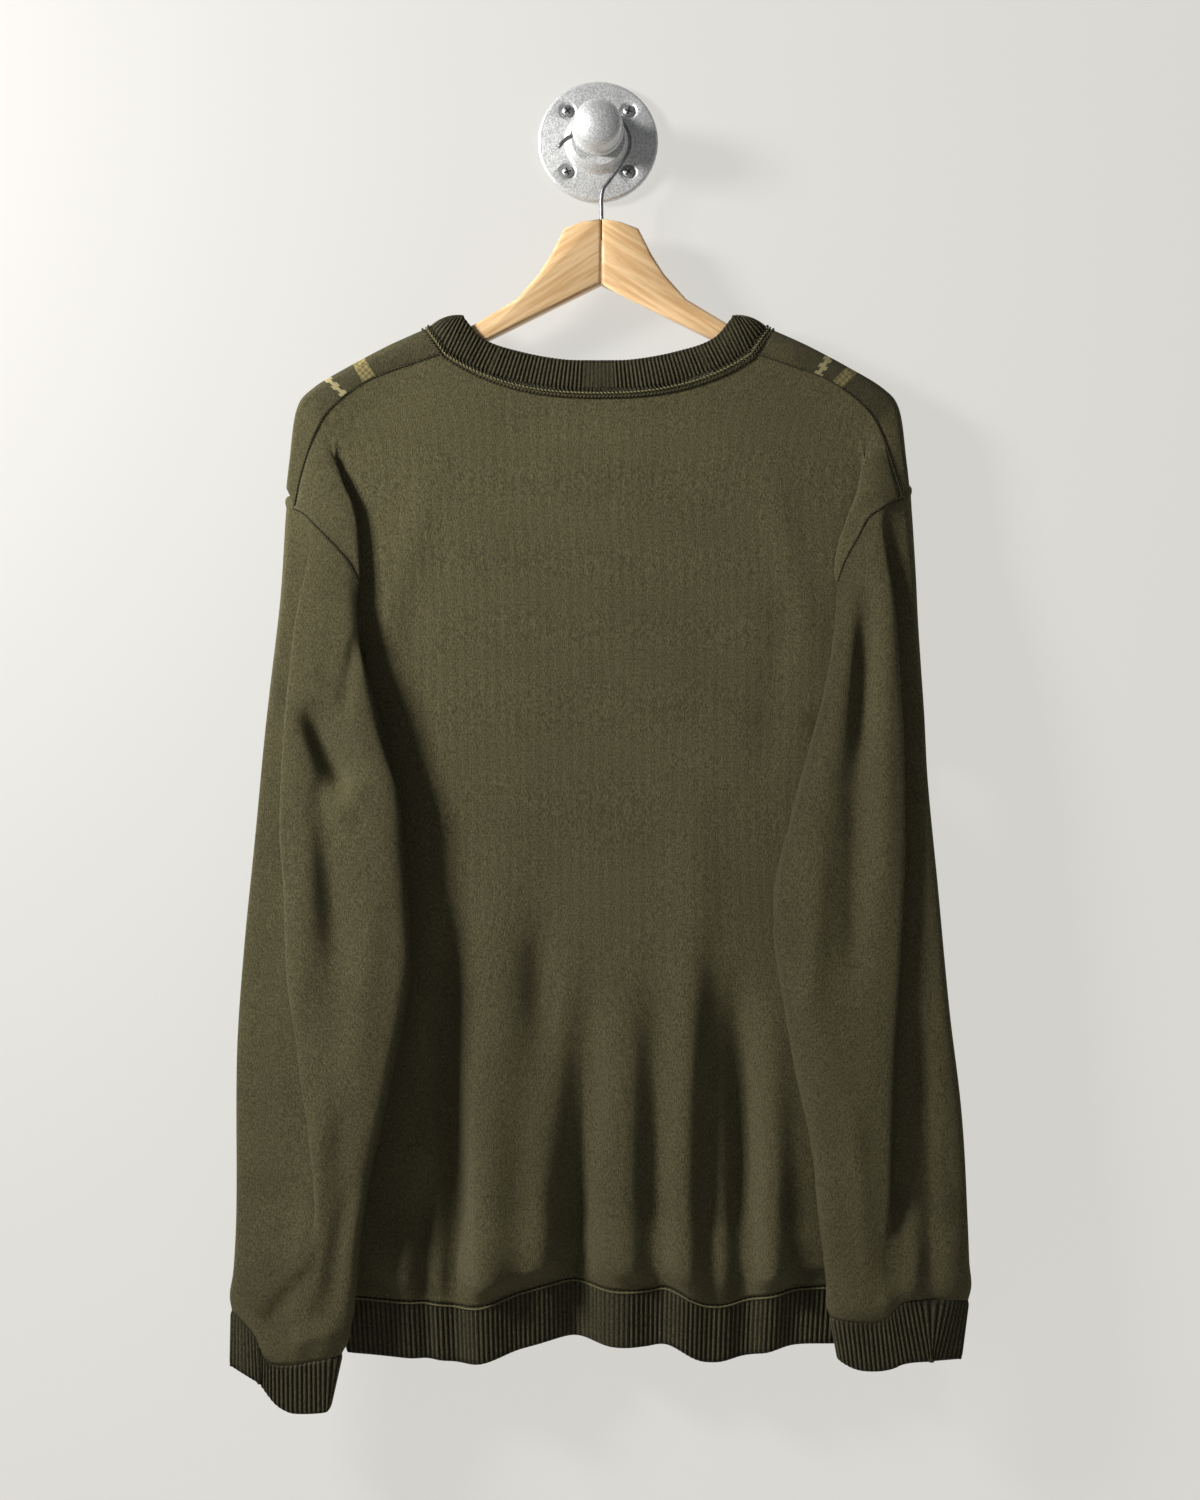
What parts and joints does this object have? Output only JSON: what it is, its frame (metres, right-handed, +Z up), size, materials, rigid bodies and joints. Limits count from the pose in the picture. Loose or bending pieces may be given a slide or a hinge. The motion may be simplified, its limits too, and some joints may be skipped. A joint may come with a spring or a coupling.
{
  "type": "wool sweater on a wooden hanger and a pipe wall hook",
  "caption": "Worn dark olive wool sweater with crew neck and drop shoulders, seen from its back, on a wooden hanger hung from a wall hook of pipe fittings",
  "frame": {"origin": "middle of the wall flange's back face, which is screwed to the wall", "axes": "+Z up, +Y into the wall, +X to the right as seen from the room"},
  "size_m": [0.5277, 0.0733, 0.9661],
  "materials": {
    "jersey": "fine heathered jersey, soft and worn",
    "rib": "knitted rib, a little darker",
    "wood": "light satin varnish",
    "wire": "bright drawn wire",
    "zinc": "galvanised, mottled",
    "screw_steel": "dark cross-recess heads"
  },
  "bodies": {
    "root": {"back_panel": "jersey", "front_panel": "jersey", "sleeve_left": "jersey", "sleeve_right": "jersey", "collar": "rib", "hem_back": "rib", "hem_front": "rib", "cuff_left": "rib", "cuff_right": "rib", "hanger_arm_left": "wood", "hanger_arm_right": "wood", "hanger_hook": "wire", "wall_flange": "zinc", "pipe_nipple": "zinc", "pipe_cap": "zinc", "screw_1": "screw_steel", "screw_2": "screw_steel", "screw_3": "screw_steel", "screw_4": "screw_steel"}
  },
  "joints": []
}
